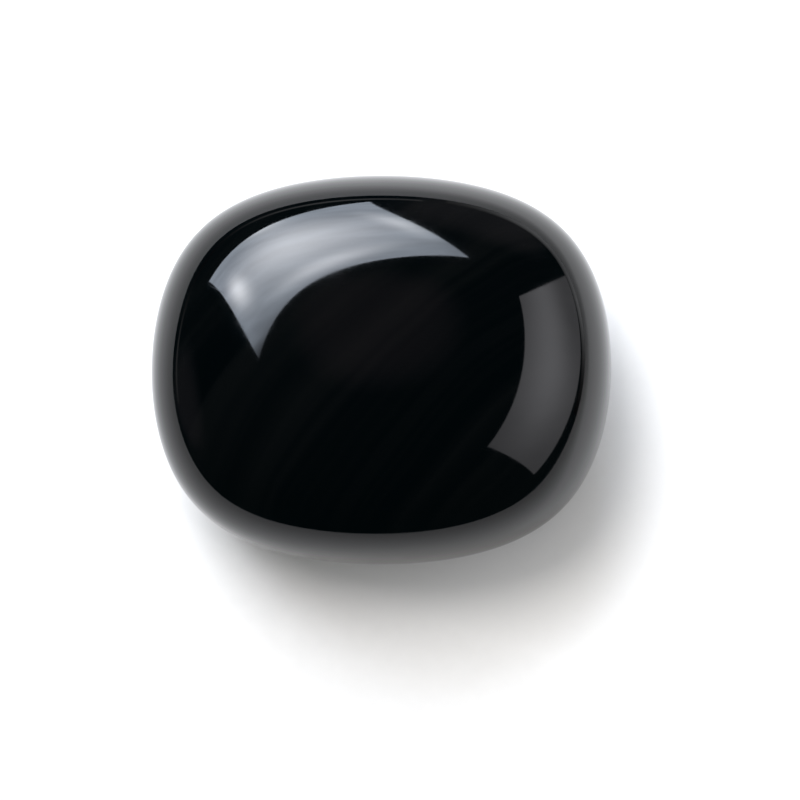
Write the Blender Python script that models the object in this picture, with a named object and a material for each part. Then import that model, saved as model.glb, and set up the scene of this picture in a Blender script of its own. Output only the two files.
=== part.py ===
# A tumbled obsidian stone lying on its worn underside.
# Metres. X runs left to right, Y front to back and Z up, with the origin under the middle of the stone.
import math

import bmesh
import bpy
import numpy as np

# The whole stone
HALF_WIDTH = 0.01498
HALF_DEPTH = 0.01277
HALF_HEIGHT = 0.0076
OUTLINE_FULLNESS = 0.457  # from above: 0 is an ellipse, 1 a rectangle
PROFILE_FULLNESS = 0.366  # from the side: 0 is an ellipse, 1 a rectangle

# Flanks that differ from the even shape: turn from +X and rise from the waist in degrees,
# how far the change spreads in degrees, and how far out it stands in metres
FLANKS = {
    "worn front right": {"turn": 320.0, "rise": 27.0, "spread": 18.0, "out": -0.00066},
    "full left": {"turn": 190.0, "rise": 29.0, "spread": 18.0, "out": 0.00025},
}

# The flat face that the stone lies on
BASE_CUT = 0.00025  # how much lower an unworn underside would reach
BASE_BLEND = 0.00008  # height over which the underside rounds into the face

SEGMENTS = 24  # facets along each of the twelve edges of the cube that is rounded

# The glass
BLACK_GLASS = (0.004, 0.004, 0.005, 1.0)
POLISH_ROUGHNESS = 0.06
GLASS_IOR = 1.5


def clear_scene():
    for old in list(bpy.data.objects):
        bpy.data.objects.remove(old, do_unlink=True)


# Unit directions through points on a cube from -1 to 1, spread evenly over the sphere
def evenly_spread(cube_points):
    spread = np.tan(cube_points * math.pi / 4)
    return spread / np.linalg.norm(spread, axis=1, keepdims=True)


def flank_direction(flank):
    turn, rise = math.radians(flank["turn"]), math.radians(flank["rise"])
    return np.array([math.cos(rise) * math.cos(turn), math.cos(rise) * math.sin(turn), math.sin(rise)])


# How far the surface is along each direction, for a stone one unit from its middle to its sides.
# The even shape is x2 + y2 + z2 - outline x2 y2 - profile (x2 + y2) z2 = 1, where x2 is x squared.
def reach(directions):
    x2, y2, z2 = (directions**2).T
    fullness = OUTLINE_FULLNESS * x2 * y2 + PROFILE_FULLNESS * (x2 + y2) * z2
    even = np.sqrt(2 / (1 + np.sqrt(1 - 4 * fullness)))
    change = np.ones(len(directions))
    for flank in FLANKS.values():
        toward = directions @ flank_direction(flank)
        spread = math.radians(flank["spread"])
        change += flank["out"] / HALF_WIDTH * np.exp((toward - 1) / spread**2)
    return even * change


# The underside is worn flat at Z = 0, and the origin is under the middle of the stone
def on_its_base(points):
    x, y, z = points.T
    above = z - (z.min() + BASE_CUT)
    rounding = (above + BASE_BLEND) ** 2 / (4 * BASE_BLEND)
    height = np.where(above > BASE_BLEND, above, np.where(above < -BASE_BLEND, 0.0, rounding))
    middle_x = (x.min() + x.max()) / 2
    middle_y = (y.min() + y.max()) / 2
    return np.column_stack([x - middle_x, y - middle_y, height])


def stone_surface(cube_points):
    directions = evenly_spread(cube_points)
    half_sizes = np.array([HALF_WIDTH, HALF_DEPTH, HALF_HEIGHT])
    return on_its_base(directions * reach(directions)[:, None] * half_sizes)


def glass_material():
    material = bpy.data.materials.new("obsidian")
    material.use_nodes = True
    shader = material.node_tree.nodes["Principled BSDF"]
    shader.inputs["Base Color"].default_value = BLACK_GLASS
    shader.inputs["Roughness"].default_value = POLISH_ROUGHNESS
    shader.inputs["Metallic"].default_value = 0.0
    shader.inputs["IOR"].default_value = GLASS_IOR
    return material


def build_stone():
    shape = bmesh.new()
    bmesh.ops.create_cube(shape, size=2.0)
    bmesh.ops.subdivide_edges(shape, edges=shape.edges[:], cuts=SEGMENTS - 1, use_grid_fill=True)
    surface = stone_surface(np.array([vertex.co for vertex in shape.verts]))
    for vertex, place in zip(shape.verts, surface):
        vertex.co = place
    bmesh.ops.recalc_face_normals(shape, faces=shape.faces[:])
    mesh = bpy.data.meshes.new("stone")
    shape.to_mesh(mesh)
    shape.free()
    mesh.shade_smooth()
    mesh.materials.append(glass_material())
    stone = bpy.data.objects.new("stone", mesh)
    bpy.context.scene.collection.objects.link(stone)


clear_scene()
build_stone()
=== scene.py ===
import math

import bpy
import numpy as np
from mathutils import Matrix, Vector


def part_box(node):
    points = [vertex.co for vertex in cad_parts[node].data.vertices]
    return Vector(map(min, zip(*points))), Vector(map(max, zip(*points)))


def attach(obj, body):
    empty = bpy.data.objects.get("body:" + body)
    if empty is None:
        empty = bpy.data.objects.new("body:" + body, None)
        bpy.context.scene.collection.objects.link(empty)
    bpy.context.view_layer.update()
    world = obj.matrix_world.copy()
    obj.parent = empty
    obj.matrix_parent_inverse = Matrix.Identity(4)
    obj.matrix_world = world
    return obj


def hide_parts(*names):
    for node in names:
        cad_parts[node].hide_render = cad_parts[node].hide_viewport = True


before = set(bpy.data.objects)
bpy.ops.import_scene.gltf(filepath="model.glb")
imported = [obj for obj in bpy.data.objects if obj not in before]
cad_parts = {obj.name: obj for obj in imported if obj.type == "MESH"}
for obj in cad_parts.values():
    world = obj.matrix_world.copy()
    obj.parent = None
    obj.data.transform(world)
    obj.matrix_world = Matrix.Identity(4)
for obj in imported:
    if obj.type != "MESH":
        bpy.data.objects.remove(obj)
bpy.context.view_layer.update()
stoneLow, stoneHigh = (np.array(corner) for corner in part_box("stone"))
stoneMiddle = (stoneLow + stoneHigh) / 2
print("frame loaded, the stone measures", np.round((stoneHigh - stoneLow) * 1000, 1), "mm")


# A smooth mesh at the origin, from an array of points and an array of four-cornered faces
def meshObject(name, points, faces, material):
    mesh = bpy.data.meshes.new(name)
    mesh.from_pydata(points.tolist(), [], faces.tolist())
    mesh.shade_smooth()
    mesh.materials.append(material)
    made = bpy.data.objects.new(name, mesh)
    bpy.context.scene.collection.objects.link(made)
    return made


# The unit vector that is turned from +X towards +Y and raised from the floor, both in degrees
def direction(turn, rise):
    turn, rise = math.radians(turn), math.radians(rise)
    return np.array([math.cos(rise) * math.cos(turn), math.cos(rise) * math.sin(turn), math.sin(rise)])


# A new node of a tree, with some of its inputs set and others linked from (node, output name)
def addNode(tree, kind, settings=(), inputs=()):
    node = tree.nodes.new(kind)
    for name, value in dict(settings).items():
        setattr(node, name, value)
    for name, value in dict(inputs).items():
        if isinstance(value, tuple) and isinstance(value[0], bpy.types.Node):
            tree.links.new(value[0].outputs[value[1]], node.inputs[name])
        else:
            node.inputs[name].default_value = value
    return node


# A sum, product or other operation on one or two numbers, kept between 0 and 1 where it is clamped
def addMath(tree, operation, first, second=0.0, clamp=False):
    settings = {"operation": operation, "use_clamp": clamp}
    return addNode(tree, "ShaderNodeMath", settings, {0: first, 1: second})


# A shader node group with named inputs, given as {name: (socket type, value)}, and one named output
def newGroup(name, inputs, output):
    group = bpy.data.node_groups.new(name, "ShaderNodeTree")
    for label, (socketType, value) in inputs.items():
        socket = group.interface.new_socket(label, in_out="INPUT", socket_type=socketType)
        socket.default_value = value
    group.interface.new_socket(output, in_out="OUTPUT", socket_type="NodeSocketFloat")
    return group, group.nodes.new("NodeGroupInput"), group.nodes.new("NodeGroupOutput")


def placeGroup(tree, group, inputs):
    return addNode(tree, "ShaderNodeGroup", {"node_tree": group}, inputs)


noiseMiddle = 0.5  # the mean of Blender's noise


# Flow bands: noise read along one direction only, so that it makes flat layers, which a second,
# broad noise pushes back and forth so that the layers fold as the lava did.
def flowBandsGroup():
    group, given, result = newGroup("flowBands", {
        "Vector": ("NodeSocketVector", (0.0, 0.0, 0.0)),
        "Across": ("NodeSocketVector", (0.0, 0.0, 1.0)),
        "Bands per Metre": ("NodeSocketFloat", 300.0),
        "Fold Height": ("NodeSocketFloat", 0.002),
        "Folds per Metre": ("NodeSocketFloat", 60.0),
        "Lowest": ("NodeSocketFloat", 0.5),
        "Highest": ("NodeSocketFloat", 0.7),
    }, "Mask")
    along = addNode(group, "ShaderNodeVectorMath", {"operation": "DOT_PRODUCT"},
                    {0: (given, "Vector"), 1: (given, "Across")})
    folds = addNode(group, "ShaderNodeTexNoise", {},
                    {"Vector": (given, "Vector"), "Scale": (given, "Folds per Metre"), "Detail": 2.0})
    offMiddle = addMath(group, "SUBTRACT", (folds, 0), noiseMiddle)
    push = addMath(group, "MULTIPLY", (offMiddle, 0), (given, "Fold Height"))
    pushed = addMath(group, "ADD", (along, "Value"), (push, 0))
    layer = addMath(group, "MULTIPLY", (pushed, 0), (given, "Bands per Metre"))
    bands = addNode(group, "ShaderNodeTexNoise", {"noise_dimensions": "1D"},
                    {"W": (layer, 0), "Scale": 1.0, "Detail": 4.0, "Roughness": 0.6})
    mask = addNode(group, "ShaderNodeMapRange", {"interpolation_type": "SMOOTHSTEP"},
                   {"Value": (bands, 0), "From Min": (given, "Lowest"), "From Max": (given, "Highest")})
    group.links.new(mask.outputs[0], result.inputs["Mask"])
    return group


# Polish: broad soft patches and a fine grain of haze, added together and stretched between two roughnesses
def polishGroup():
    group, given, result = newGroup("polish", {
        "Vector": ("NodeSocketVector", (0.0, 0.0, 0.0)),
        "Patches per Metre": ("NodeSocketFloat", 150.0),
        "Grains per Metre": ("NodeSocketFloat", 2500.0),
        "Clearest": ("NodeSocketFloat", 0.03),
        "Haziest": ("NodeSocketFloat", 0.08),
    }, "Roughness")
    patches = addNode(group, "ShaderNodeTexNoise", {},
                      {"Vector": (given, "Vector"), "Scale": (given, "Patches per Metre"), "Detail": 3.0})
    grain = addNode(group, "ShaderNodeTexNoise", {},
                    {"Vector": (given, "Vector"), "Scale": (given, "Grains per Metre"), "Detail": 1.0})
    patchShare = 0.75              # the grain makes up the rest
    lowest, highest = 0.35, 0.65   # between which nearly all of the noise lies
    patchPart = addMath(group, "MULTIPLY", (patches, 0), patchShare)
    grainPart = addMath(group, "MULTIPLY", (grain, 0), 1 - patchShare)
    both = addMath(group, "ADD", (patchPart, 0), (grainPart, 0))
    haze = addNode(group, "ShaderNodeMapRange", {"interpolation_type": "SMOOTHSTEP"},
                   {"Value": (both, 0), "From Min": lowest, "From Max": highest,
                    "To Min": (given, "Clearest"), "To Max": (given, "Haziest")})
    group.links.new(haze.outputs[0], result.inputs["Roughness"])
    return group


# Tumbling marks: round dimples in a few of many small cells, each as deep as one minus its distance
# squared over its radius squared. The output is a height in metres, 0 where there is no mark.
def pitsGroup():
    group, given, result = newGroup("tumblingPits", {
        "Vector": ("NodeSocketVector", (0.0, 0.0, 0.0)),
        "Cells per Metre": ("NodeSocketFloat", 900.0),
        "Share Marked": ("NodeSocketFloat", 0.05),
        "Radius": ("NodeSocketFloat", 0.2),
        "Depth": ("NodeSocketFloat", 0.00001),
    }, "Height")
    cells = addNode(group, "ShaderNodeTexVoronoi", {},
                    {"Vector": (given, "Vector"), "Scale": (given, "Cells per Metre")})
    chance = addNode(group, "ShaderNodeSeparateColor", {}, {"Color": (cells, "Color")})
    marked = addMath(group, "LESS_THAN", (chance, 0), (given, "Share Marked"))
    away = addMath(group, "DIVIDE", (cells, "Distance"), (given, "Radius"))
    bowl = addMath(group, "SUBTRACT", 1.0, (addMath(group, "MULTIPLY", (away, 0), (away, 0)), 0), clamp=True)
    depth = addMath(group, "MULTIPLY", (given, "Depth"), (chance, 1))
    markedBowl = addMath(group, "MULTIPLY", (bowl, 0), (marked, 0))
    cut = addMath(group, "MULTIPLY", (markedBowl, 0), (depth, 0))
    height = addMath(group, "SUBTRACT", 0.0, (cut, 0))
    group.links.new(height.outputs[0], result.inputs["Height"])
    return group


# Hairlines: a noise drawn out along one direction, of which only the narrow middle values are kept,
# so that they leave thin lines. The output is a height in metres, 0 where there is no line.
def hairlinesGroup():
    group, given, result = newGroup("hairlines", {
        "Vector": ("NodeSocketVector", (0.0, 0.0, 0.0)),
        "Turn": ("NodeSocketVector", (0.0, 0.0, 0.0)),
        "Lines per Metre": ("NodeSocketFloat", 900.0),
        "Drawn Out": ("NodeSocketFloat", 25.0),
        "Width": ("NodeSocketFloat", 0.01),
        "Depth": ("NodeSocketFloat", 0.000001),
    }, "Height")
    turned = addNode(group, "ShaderNodeVectorRotate", {"rotation_type": "EULER_XYZ"},
                     {"Vector": (given, "Vector"), "Rotation": (given, "Turn")})
    narrow = addNode(group, "ShaderNodeCombineXYZ", {},
                     {"X": (addMath(group, "DIVIDE", 1.0, (given, "Drawn Out")), 0), "Y": 1.0, "Z": 1.0})
    drawn = addNode(group, "ShaderNodeVectorMath", {"operation": "MULTIPLY"},
                    {0: (turned, 0), 1: (narrow, 0)})
    noise = addNode(group, "ShaderNodeTexNoise", {},
                    {"Vector": (drawn, 0), "Scale": (given, "Lines per Metre"), "Detail": 0.0})
    offMiddle = addMath(group, "ABSOLUTE", (addMath(group, "SUBTRACT", (noise, 0), noiseMiddle), 0))
    share = addMath(group, "DIVIDE", (offMiddle, 0), (given, "Width"))
    line = addMath(group, "SUBTRACT", 1.0, (share, 0), clamp=True)
    height = addMath(group, "MULTIPLY", (addMath(group, "MULTIPLY", (line, 0), (given, "Depth")), 0), -1.0)
    group.links.new(height.outputs[0], result.inputs["Height"])
    return group


# One lamp behind the cloth of a light: its glow falls off as e to the minus distance squared, where the
# distance is counted in the lamp's own reach along its two axes.
def lampGlowGroup():
    group, given, result = newGroup("lampGlow", {
        "Vector": ("NodeSocketVector", (0.0, 0.0, 0.0)),
        "Centre": ("NodeSocketVector", (0.0, 0.0, 0.0)),
        "Reach": ("NodeSocketVector", (0.1, 0.1, 1.0)),
        "Turn": ("NodeSocketFloat", 0.0),
        "Glow": ("NodeSocketFloat", 1.0),
    }, "Glow")
    away = addNode(group, "ShaderNodeVectorMath", {"operation": "SUBTRACT"},
                   {0: (given, "Vector"), 1: (given, "Centre")})
    turned = addNode(group, "ShaderNodeVectorRotate", {"rotation_type": "Z_AXIS", "invert": True},
                     {"Vector": (away, 0), "Angle": (given, "Turn")})
    counted = addNode(group, "ShaderNodeVectorMath", {"operation": "DIVIDE"},
                      {0: (turned, 0), 1: (given, "Reach")})
    squared = addNode(group, "ShaderNodeVectorMath", {"operation": "DOT_PRODUCT"},
                      {0: (counted, 0), 1: (counted, 0)})
    falloff = addMath(group, "EXPONENT", (addMath(group, "MULTIPLY", (squared, "Value"), -1.0), 0))
    glow = addMath(group, "MULTIPLY", (falloff, 0), (given, "Glow"))
    group.links.new(glow.outputs[0], result.inputs["Glow"])
    return group


# Creased cloth: a noise that is drawn out along its creases, and stretched between two glows
def creasedClothGroup():
    group, given, result = newGroup("creasedCloth", {
        "Vector": ("NodeSocketVector", (0.0, 0.0, 0.0)),
        "Creases per Metre": ("NodeSocketVector", (5.0, 20.0, 1.0)),
        "Dullest": ("NodeSocketFloat", 0.8),
        "Brightest": ("NodeSocketFloat", 1.2),
    }, "Glow")
    lowest, highest = 0.3, 0.7     # between which nearly all of the noise lies
    stretched = addNode(group, "ShaderNodeVectorMath", {"operation": "MULTIPLY"},
                        {0: (given, "Vector"), 1: (given, "Creases per Metre")})
    noise = addNode(group, "ShaderNodeTexNoise", {},
                    {"Vector": (stretched, 0), "Scale": 1.0, "Detail": 3.0, "Roughness": 0.6})
    glow = addNode(group, "ShaderNodeMapRange", {},
                   {"Value": (noise, 0), "From Min": lowest, "From Max": highest,
                    "To Min": (given, "Dullest"), "To Max": (given, "Brightest")})
    group.links.new(glow.outputs[0], result.inputs["Glow"])
    return group


# A painted pool of light, a mask that makes a board's colour paler where the light is strongest: 1 up to
# some distance from its middle, and beyond it falling off as e to the minus distance over a length.
# Distances are squeezed along each axis, and a fine grain of the board is added.
def paintedPoolAndGrainGroup():
    group, given, result = newGroup("paintedPoolAndGrain", {
        "Vector": ("NodeSocketVector", (0.0, 0.0, 0.0)),
        "Middle": ("NodeSocketVector", (0.0, 0.0, 0.0)),
        "Squeeze": ("NodeSocketVector", (1.0, 1.0, 1.0)),
        "Full Within": ("NodeSocketFloat", 0.02),
        "Fades Over": ("NodeSocketFloat", 0.02),
        "Grains per Metre": ("NodeSocketFloat", 900.0),
        "Grain": ("NodeSocketFloat", 0.1),
    }, "Mask")
    shifted = addNode(group, "ShaderNodeVectorMath", {"operation": "SUBTRACT"},
                      {0: (given, "Vector"), 1: (given, "Middle")})
    squeezed = addNode(group, "ShaderNodeVectorMath", {"operation": "MULTIPLY"},
                       {0: (shifted, 0), 1: (given, "Squeeze")})
    away = addNode(group, "ShaderNodeVectorMath", {"operation": "LENGTH"}, {0: (squeezed, 0)})
    further = addMath(group, "SUBTRACT", (away, "Value"), (given, "Full Within"))
    beyond = addMath(group, "MAXIMUM", (further, 0), 0.0)
    counted = addMath(group, "DIVIDE", (beyond, 0), (given, "Fades Over"))
    pool = addMath(group, "EXPONENT", (addMath(group, "MULTIPLY", (counted, 0), -1.0), 0))
    noise = addNode(group, "ShaderNodeTexNoise", {},
                    {"Vector": (given, "Vector"), "Scale": (given, "Grains per Metre")})
    offMiddle = addMath(group, "SUBTRACT", (noise, 0), noiseMiddle)
    grain = addMath(group, "MULTIPLY", (offMiddle, 0), (given, "Grain"))
    mask = addMath(group, "ADD", (pool, 0), (grain, 0), clamp=True)
    group.links.new(mask.outputs[0], result.inputs["Mask"])
    return group


# The stone. Fullness is 0 for an ellipse and 1 for a rectangle, and the base's sizes are shares of the
# stone's half height. Each flank that differs from the even shape stands out by a share of half the
# stone's width, less further away from its direction.
stone = {
    "cellsPerSide": 124,          # along each edge of the cube that is rounded into the stone
    "outlineFullness": 0.457,     # seen from above
    "profileFullness": 0.366,     # seen from the side
    "flankSpread": 18.0,          # degrees
    "wornFlank": {"turn": 320.0, "rise": 27.0, "out": -0.044},
    "fullFlank": {"turn": 190.0, "rise": 29.0, "out": 0.0167},
    "baseCut": 0.033,             # how much of the underside is worn away to the flat face
    "baseBlend": 0.0105,          # over which it rounds into that face
}


# The surface of a cube from -1 to 1 as a net: every lattice point on it once, and its square cells.
# A point's number is found from its place in the whole lattice, so cells of two sides share their points.
def cubeNet(cells):
    step = np.arange(cells + 1)
    u, v = np.meshgrid(step, step, indexing="ij")
    corners = []
    for axis in range(3):
        for side in (0, cells):
            lattice = np.empty((cells + 1, cells + 1, 3), int)
            lattice[..., axis] = side
            lattice[..., (axis + 1) % 3] = u
            lattice[..., (axis + 2) % 3] = v
            a, b, c, d = lattice[:-1, :-1], lattice[1:, :-1], lattice[1:, 1:], lattice[:-1, 1:]
            outward = [a, b, c, d] if side else [a, d, c, b]
            corners.append(np.stack(outward, axis=2).reshape(-1, 4, 3))
    corners = np.concatenate(corners)
    keys = corners @ np.array([(cells + 1) ** 2, cells + 1, 1])
    _, first, faces = np.unique(keys, return_index=True, return_inverse=True)
    points = corners.reshape(-1, 3)[first] * 2 / cells - 1
    return points, faces.reshape(-1, 4)


# The stone's surface: the cube's points are spread evenly over the sphere by the tangent of an eighth
# turn, and each direction is carried out to x2 + y2 + z2 - outline x2 y2 - profile (x2 + y2) z2 = 1, where
# x2 is x squared. The underside is then levelled, and the whole is fitted to the solid's box.
def stoneSurface(cubePoints):
    spread = np.tan(cubePoints * math.pi / 4)
    toward = spread / np.linalg.norm(spread, axis=1, keepdims=True)
    x2, y2, z2 = (toward**2).T
    fullness = stone["outlineFullness"] * x2 * y2 + stone["profileFullness"] * (x2 + y2) * z2
    reach = np.sqrt(2 / (1 + np.sqrt(1 - 4 * fullness)))
    change = 1.0
    for flank in (stone["wornFlank"], stone["fullFlank"]):
        nearness = toward @ direction(flank["turn"], flank["rise"]) - 1
        change = change + flank["out"] * np.exp(nearness / math.radians(stone["flankSpread"]) ** 2)
    points = toward * (reach * change)[:, None]
    above = points[:, 2] - (points[:, 2].min() + stone["baseCut"])
    blend = stone["baseBlend"]
    rounding = (above + blend) ** 2 / (4 * blend)
    points[:, 2] = np.where(above > blend, above, np.where(above < -blend, 0.0, rounding))
    low, high = points.min(axis=0), points.max(axis=0)
    return (points - low) / (high - low) * (stoneHigh - stoneLow) + stoneLow


# The glass: nearly black, with smoky layers, and polished all over
glass = {
    "black": (0.0001, 0.0002, 0.0003, 1.0),
    "smoky": (0.0012, 0.0012, 0.0012, 1.0),
    "ior": 1.5,
    "bands": {"Across": (0.62, -0.66, 0.42), "Bands per Metre": 300.0, "Fold Height": 0.004,
              "Folds per Metre": 55.0, "Lowest": 0.38, "Highest": 0.74},
    "polish": {"Patches per Metre": 160.0, "Grains per Metre": 2600.0, "Clearest": 0.03, "Haziest": 0.065},
    "pits": {"Cells per Metre": 700.0, "Share Marked": 0.08, "Radius": 0.12, "Depth": 0.0000014},
    "hairlines": {"Turn": (0.3, 0.5, 0.6), "Lines per Metre": 700.0, "Drawn Out": 18.0,
                  "Width": 0.006, "Depth": 0.00000014},
}


def glassMaterial():
    material = bpy.data.materials.new("obsidian")
    material.use_nodes = True
    tree = material.node_tree
    shader = tree.nodes["Principled BSDF"]
    shader.inputs["IOR"].default_value = glass["ior"]
    shader.inputs["Metallic"].default_value = 0.0
    place = (addNode(tree, "ShaderNodeTexCoord"), "Object")
    bands = placeGroup(tree, flowBandsGroup(), {"Vector": place, **glass["bands"]})
    colour = addNode(tree, "ShaderNodeMix", {"data_type": "RGBA"},
                     {"Factor": (bands, "Mask"), "A": glass["black"], "B": glass["smoky"]})
    tree.links.new(colour.outputs["Result"], shader.inputs["Base Color"])
    polish = placeGroup(tree, polishGroup(), {"Vector": place, **glass["polish"]})
    tree.links.new(polish.outputs["Roughness"], shader.inputs["Roughness"])
    pits = placeGroup(tree, pitsGroup(), {"Vector": place, **glass["pits"]})
    hairlines = placeGroup(tree, hairlinesGroup(), {"Vector": place, **glass["hairlines"]})
    marks = addMath(tree, "ADD", (pits, "Height"), (hairlines, "Height"))
    bump = addNode(tree, "ShaderNodeBump", {}, {"Height": (marks, 0), "Distance": 1.0, "Strength": 1.0})
    tree.links.new(bump.outputs["Normal"], shader.inputs["Normal"])
    return material


def addStone():
    cubePoints, faces = cubeNet(stone["cellsPerSide"])
    made = meshObject("tumbledStone", stoneSurface(cubePoints), faces, glassMaterial())
    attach(made, "root")
    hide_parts("stone")


addStone()
print("stone made")


# The table: a pale oval board, whose edge is also where the stone's bright rim ends on its inside. Its
# middle is beside the stone, and its colour is painted palest round the stone, a painted pool of light.
table = {
    "halfWidth": 0.28,
    "halfDepth": 0.17,
    "middle": (0.13, 0.03),
    "sides": 256,
    "near": (0.61, 0.61, 0.61, 1.0),
    "far": (0.33, 0.33, 0.33, 1.0),
    "pool": {"Middle": (0.030, 0.010, 0.0), "Squeeze": (0.6, 1.0, 1.0), "Full Within": 0.030,
             "Fades Over": 0.014, "Grains per Metre": 900.0, "Grain": 0.1},
    "roughness": 0.75,
    "shine": 0.1,
}


def tableMaterial():
    material = bpy.data.materials.new("paleBoard")
    material.use_nodes = True
    tree = material.node_tree
    shader = tree.nodes["Principled BSDF"]
    shader.inputs["Roughness"].default_value = table["roughness"]
    shader.inputs["Specular IOR Level"].default_value = table["shine"]
    place = (addNode(tree, "ShaderNodeTexCoord"), "Object")
    # The board's colour is painted paler round the stone, a painted pool of light with a fine grain of the
    # board
    pool = placeGroup(tree, paintedPoolAndGrainGroup(), {"Vector": place, **table["pool"]})
    colour = addNode(tree, "ShaderNodeMix", {"data_type": "RGBA"},
                     {"Factor": (pool, "Mask"), "A": table["far"], "B": table["near"]})
    tree.links.new(colour.outputs["Result"], shader.inputs["Base Color"])
    return material


# The board's rim is an oval: half its width times the cosine of a turn, and half its depth times the sine
def addTable():
    turn = np.arange(table["sides"]) * 2 * math.pi / table["sides"]
    across = table["middle"][0] + np.cos(turn) * table["halfWidth"]
    back = table["middle"][1] + np.sin(turn) * table["halfDepth"]
    rim = np.column_stack([across, back, np.zeros_like(turn)])
    board = meshObject("table", rim, np.arange(table["sides"])[None, :], tableMaterial())


addTable()
print("table made")


# The lights: two glowing sheets, each flat, square on to the stone and this far from its middle. Their
# corners are measured across and up from the middle of the sheet, and their edges bow in by a length,
# or out where it is negative. The cloth glows unevenly, lamps add to its glow, and shades take a share
# of it away.
softbox = {
    "turn": 111.6,
    "rise": 38.8,
    "distance": 0.45,
    "corners": ((0.289, -0.131), (0.204, 0.294), (-0.269, 0.147), (-0.189, -0.280)),
    "bowedIn": (0.025, 0.066, 0.035, 0.028),
    "clothColour": (0.754, 0.855, 1.0, 1.0),
    "lampColour": (0.969, 0.973, 1.0, 1.0),
    "cloth": {"Creases per Metre": (5.0, 18.0, 1.0), "Dullest": 4.8, "Brightest": 7.2},
    "lamps": (
        {"Centre": (0.176, 0.059, 0.0), "Reach": (0.031, 0.060, 1.0), "Turn": 0.17, "Glow": 10.4},
        {"Centre": (-0.025, 0.116, 0.0), "Reach": (0.094, 0.021, 1.0), "Turn": 0.31, "Glow": 5.8},
        {"Centre": (-0.175, -0.043, 0.0), "Reach": (0.023, 0.074, 1.0), "Turn": 0.28, "Glow": 5.4},
        {"Centre": (0.089, -0.306, 0.0), "Reach": (0.056, 0.118, 1.0), "Turn": 0.39, "Glow": 25.0},
        {"Centre": (0.005, 0.0, 0.0), "Reach": (0.136, 0.098, 1.0), "Turn": 0.36, "Glow": 8.5},
    ),
    "shades": (
        {"Centre": (0.183, 0.300, 0.0), "Reach": (0.157, 0.058, 1.0), "Turn": 0.46, "Glow": 0.95},
        {"Centre": (-0.250, 0.130, 0.0), "Reach": (0.050, 0.040, 1.0), "Turn": 0.0, "Glow": 0.28},
    ),
}
sideCard = {
    "turn": -0.5,
    "rise": 34.7,
    "distance": 0.45,
    "corners": ((0.220, 0.151), (0.345, -0.262), (-0.361, -0.201), (-0.207, 0.198)),
    "bowedIn": (0.008, -0.016, 0.005, 0.021),
    "clothColour": (0.95, 0.95, 1.0, 1.0),
    "lampColour": (0.95, 0.95, 1.0, 1.0),
    "cloth": {"Creases per Metre": (12.0, 3.0, 1.0), "Dullest": 0.76, "Brightest": 0.84},
    "lamps": (
        {"Centre": (-0.018, -0.005, 0.0), "Reach": (0.210, 0.146, 1.0), "Turn": 1.22, "Glow": 0.75},
        {"Centre": (0.245, 0.024, 0.0), "Reach": (0.335, 0.112, 1.0), "Turn": 0.02, "Glow": 1.1},
    ),
    "shades": (),
}
cellsAcrossSheet = 24


glowGroup = lampGlowGroup()
clothGroup = creasedClothGroup()


# The glow of a cloth, multiplied by what each shade leaves of it
def addCloth(tree, place, light):
    cloth = (placeGroup(tree, clothGroup, {"Vector": place, **light["cloth"]}), "Glow")
    for shade in light["shades"]:
        taken = placeGroup(tree, glowGroup, {"Vector": place, **shade})
        left = addMath(tree, "SUBTRACT", 1.0, (taken, "Glow"))
        cloth = (addMath(tree, "MULTIPLY", cloth, (left, 0)), 0)
    return addNode(tree, "ShaderNodeEmission", {}, {"Color": light["clothColour"], "Strength": cloth})


# The material of a light, in which its cloth, if it has one, and its lamps are added together
def lightMaterial(name, light):
    material = bpy.data.materials.new(name)
    material.use_nodes = True
    tree = material.node_tree
    tree.nodes.clear()
    place = (addNode(tree, "ShaderNodeTexCoord"), "Object")
    glows = [addCloth(tree, place, light)] if "cloth" in light else []
    for lamp in light["lamps"]:
        strength = placeGroup(tree, glowGroup, {"Vector": place, **lamp})
        glows.append(addNode(tree, "ShaderNodeEmission", {},
                             {"Color": light["lampColour"], "Strength": (strength, "Glow")}))
    lit = glows[0]
    for glow in glows[1:]:
        lit = addNode(tree, "ShaderNodeAddShader", {}, {0: (lit, 0), 1: (glow, 0)})
    output = tree.nodes.new("ShaderNodeOutputMaterial")
    tree.links.new(lit.outputs[0], output.inputs["Surface"])
    return material


# A sheet between four corners: each point is the mean of the corners weighted by its nearness to them.
# An edge's bow is a parabola along it, and fades evenly towards the opposite edge.
def sheetSurface(light):
    corners = np.array(light["corners"])
    share = np.linspace(0, 1, cellsAcrossSheet + 1)
    s, t = (grid[..., None] for grid in np.meshgrid(share, share, indexing="ij"))
    a, b, c, d = corners
    surface = (1 - s) * (1 - t) * a + s * (1 - t) * b + s * t * c + (1 - s) * t * d
    alongAndNear = ((s, 1 - t), (t, s), (1 - s, t), (1 - t, 1 - s))
    for index, (along, nearness) in enumerate(alongAndNear):
        edge = corners[(index + 1) % 4] - corners[index]
        inward = np.array([-edge[1], edge[0]]) / np.linalg.norm(edge)
        if inward @ (corners.mean(axis=0) - corners[index]) < 0:
            inward = -inward
        parabola = 4 * along * (1 - along)
        surface = surface + inward * light["bowedIn"][index] * parabola * nearness
    return surface.reshape(-1, 2)


# The cells between neighbouring points of a sheet, whose points are numbered row by row
def sheetFaces():
    numbers = np.arange((cellsAcrossSheet + 1) ** 2).reshape(cellsAcrossSheet + 1, -1)
    around = (numbers[:-1, :-1], numbers[1:, :-1], numbers[1:, 1:], numbers[:-1, 1:])
    return np.stack(around, axis=2).reshape(-1, 4)


def addSheet(name, light):
    flat = sheetSurface(light)
    points = np.column_stack([flat, np.zeros(len(flat))])
    sheet = meshObject(name, points, sheetFaces(), lightMaterial(name, light))
    toward = direction(light["turn"], light["rise"])
    sheet.location = stoneMiddle + toward * light["distance"]
    sheet.rotation_mode = "QUATERNION"
    sheet.rotation_quaternion = Vector(toward).to_track_quat("Z", "Y")
    sheet.visible_camera = False


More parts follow.
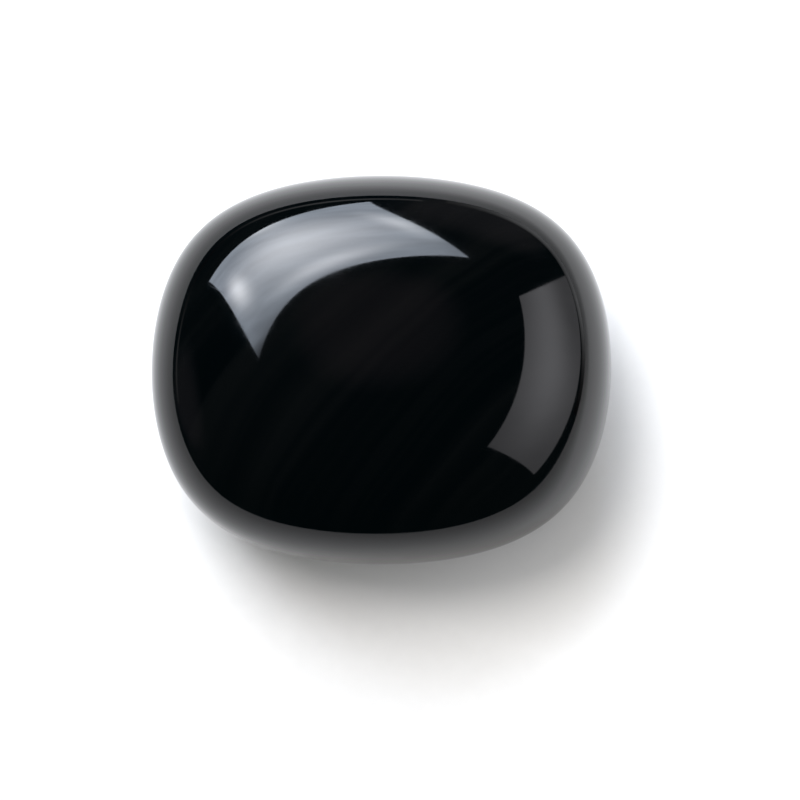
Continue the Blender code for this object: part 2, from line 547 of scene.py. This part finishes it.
# Two thin strips of light low down round the room. The skirt runs from the back round to the left, and
# the stone mirrors it as a fine line inside its bright rim. The kerb runs from the right round to the
# back, and widens that rim.
skirt = {
    "fromTurn": 84.0,
    "toTurn": 183.0,
    "lowest": 1.6,       # degrees above the stone's middle
    "highest": 3.6,
    "distance": 0.44,
    "columns": 96,
    "lampColour": (0.95, 0.97, 1.0, 1.0),
    "lamps": (
        {"Centre": (-0.42, 0.06, 0.0), "Reach": (0.20, 0.12, 1.0), "Turn": 0.0, "Glow": 0.33},
        {"Centre": (-0.06, 0.43, 0.0), "Reach": (0.15, 0.20, 1.0), "Turn": 0.0, "Glow": 0.60},
    ),
}
kerb = {
    "fromTurn": -12.0,
    "toTurn": 80.0,
    "lowest": -4.0,
    "highest": 3.6,
    "distance": 0.44,
    "columns": 96,
    "lampColour": (0.95, 0.97, 1.0, 1.0),
    "lamps": (
        {"Centre": (0.408, 0.165, 0.0), "Reach": (1.0, 0.12, 0.042), "Turn": 0.38, "Glow": 1.15},
        {"Centre": (0.252, 0.360, 0.0), "Reach": (1.0, 0.15, 0.032), "Turn": 0.96, "Glow": 1.1},
    ),
}


# A strip of a ball's surface round the stone's middle, between two turns and two rises
def addStrip(name, light):
    turns = np.linspace(light["fromTurn"], light["toTurn"], light["columns"] + 1)
    rows = [[stoneMiddle + direction(turn, rise) * light["distance"] for turn in turns]
            for rise in (light["lowest"], light["highest"])]
    low = np.arange(light["columns"])
    high = low + light["columns"] + 1
    faces = np.column_stack([low, high, high + 1, low + 1])
    strip = meshObject(name, np.concatenate(rows), faces, lightMaterial(name, light))
    strip.visible_camera = False


# Round lamps that light the table and soften the shadow, in degrees, metres and watts. The stone
# doesn't mirror them.
fillLamps = {
    "keyFill": {"turn": 138.0, "rise": 58.0, "distance": 0.33, "size": 0.26,
                "power": 1.42, "colour": (1.0, 0.97, 0.94)},
    "ceilingFill": {"turn": 0.0, "rise": 90.0, "distance": 0.60, "size": 2.40,
                    "power": 6.0, "colour": (1.0, 0.97, 0.94)},
    "overheadFill": {"turn": 90.0, "rise": 80.0, "distance": 0.40, "size": 0.29,
                     "power": 0.36, "colour": (1.0, 0.97, 0.94)},
    "sideFill": {"turn": -15.0, "rise": 22.0, "distance": 0.30, "size": 0.12,
                 "power": 0.28, "colour": (1.0, 0.97, 0.92)},
}


def addFillLamp(name, lamp):
    data = bpy.data.lights.new(name, "AREA")
    data.shape = "DISK"
    data.size = lamp["size"]
    data.energy = lamp["power"]
    data.color = lamp["colour"]
    toward = direction(lamp["turn"], lamp["rise"])
    made = bpy.data.objects.new(name, data)
    made.location = stoneMiddle + toward * lamp["distance"]
    made.rotation_mode = "QUATERNION"
    made.rotation_quaternion = Vector(toward).to_track_quat("Z", "Y")
    made.visible_glossy = False
    bpy.context.scene.collection.objects.link(made)


addSheet("softbox", softbox)
addSheet("sideCard", sideCard)
addStrip("skirt", skirt)
addStrip("kerb", kerb)
for lampName, lamp in fillLamps.items():
    addFillLamp(lampName, lamp)
print("lights made")


# The room: pale where the camera sees past the table, and dark in the stone, with faint glows. Each glow
# is even up to its inner angle from its middle and has faded at its outer one, both in degrees.
room = {
    "seen": (1.0, 1.0, 1.0, 1.0),
    "dark": (0.008, 0.028, 0.034, 1.0),
    "glows": {
        "overhead": {"turn": 92.0, "rise": 74.0, "inner": 7.0, "outer": 18.0,
                     "colour": (0.085, 0.085, 0.098, 1.0)},
        "left": {"turn": 183.0, "rise": 13.0, "inner": 4.0, "outer": 21.0,
                 "colour": (0.10, 0.105, 0.12, 1.0)},
        "backRight": {"turn": 68.0, "rise": 12.0, "inner": 6.0, "outer": 26.0,
                      "colour": (0.11, 0.115, 0.13, 1.0)},
    },
}


def addRoom():
    world = bpy.data.worlds.new("room")
    bpy.context.scene.world = world
    world.use_nodes = True
    tree = world.node_tree
    tree.nodes.clear()
    look = addNode(tree, "ShaderNodeTexCoord")
    reflected = room["dark"]
    for glow in room["glows"].values():
        middle = tuple(direction(glow["turn"], glow["rise"]))
        nearness = addNode(tree, "ShaderNodeVectorMath", {"operation": "DOT_PRODUCT"},
                           {0: (look, "Generated"), 1: middle})
        inside = addNode(tree, "ShaderNodeMapRange", {"interpolation_type": "SMOOTHSTEP"},
                         {"Value": (nearness, "Value"), "From Min": math.cos(math.radians(glow["outer"])),
                          "From Max": math.cos(math.radians(glow["inner"]))})
        mixed = addNode(tree, "ShaderNodeMix", {"data_type": "RGBA"},
                        {"Factor": (inside, 0), "A": reflected, "B": glow["colour"]})
        reflected = (mixed, "Result")
    rays = addNode(tree, "ShaderNodeLightPath")
    colour = addNode(tree, "ShaderNodeMix", {"data_type": "RGBA"},
                     {"Factor": (rays, "Is Camera Ray"), "A": reflected, "B": room["seen"]})
    background = addNode(tree, "ShaderNodeBackground", {}, {"Color": (colour, "Result"), "Strength": 1.0})
    output = tree.nodes.new("ShaderNodeOutputWorld")
    tree.links.new(background.outputs[0], output.inputs["Surface"])


addRoom()
print("room made")


# The camera: a long lens from the front, nearly overhead
camera = {
    "rise": 80.94,           # degrees above the table
    "lens": 1000.0,          # mm
    "sensorWidth": 36.0,     # mm
    "pictureWidth": 0.05217, # what the picture takes in at the stone
    "aimRight": 0.00122,     # where it aims, to the right of the stone's middle and above it in the picture
    "aimUp": -0.00200,
    "nearest": 0.01,         # the range of distances that it sees
    "furthest": 10.0,
}


def addCamera():
    data = bpy.data.cameras.new("camera")
    data.lens = camera["lens"]
    data.sensor_width = camera["sensorWidth"]
    back = Vector(direction(-90.0, camera["rise"]))
    turned = back.to_track_quat("Z", "Y")
    aim = Vector(stoneMiddle) + turned @ Vector((camera["aimRight"], camera["aimUp"], 0.0))
    made = bpy.data.objects.new("camera", data)
    made.location = aim + back * (camera["pictureWidth"] * camera["lens"] / camera["sensorWidth"])
    made.rotation_mode = "QUATERNION"
    made.rotation_quaternion = turned
    data.clip_start = camera["nearest"]
    data.clip_end = camera["furthest"]
    bpy.context.scene.collection.objects.link(made)
    bpy.context.scene.camera = made


addCamera()
bpy.context.scene.view_settings.view_transform = "Standard"
print("camera made")
